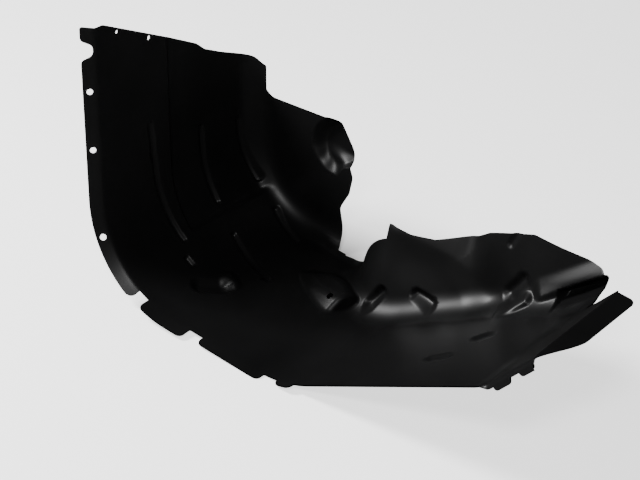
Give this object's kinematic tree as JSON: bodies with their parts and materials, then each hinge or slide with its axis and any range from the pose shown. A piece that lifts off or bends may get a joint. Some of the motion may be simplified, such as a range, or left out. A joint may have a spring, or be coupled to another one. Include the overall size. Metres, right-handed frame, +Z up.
{
  "type": "splash shield",
  "caption": "Front wheel-arch splash shield: one thin black moulded sheet curved round the tyre, with an inner wall, a strut cut-out, a folded edge flange and clip tabs.",
  "frame": {"origin": "Centre of the bounding box in plan, on the floor under the crown", "axes": "+X along the arch from the straight leg to the short end, +Y inboard along the wheel's axle, +Z up with the arch lying crown downwards"},
  "size_m": [0.7456, 0.374, 0.3773],
  "materials": {
    "moulded_plastic": "satin, fine moulded grain"
  },
  "bodies": {
    "root": {"splash_shield": "moulded_plastic"}
  },
  "joints": []
}
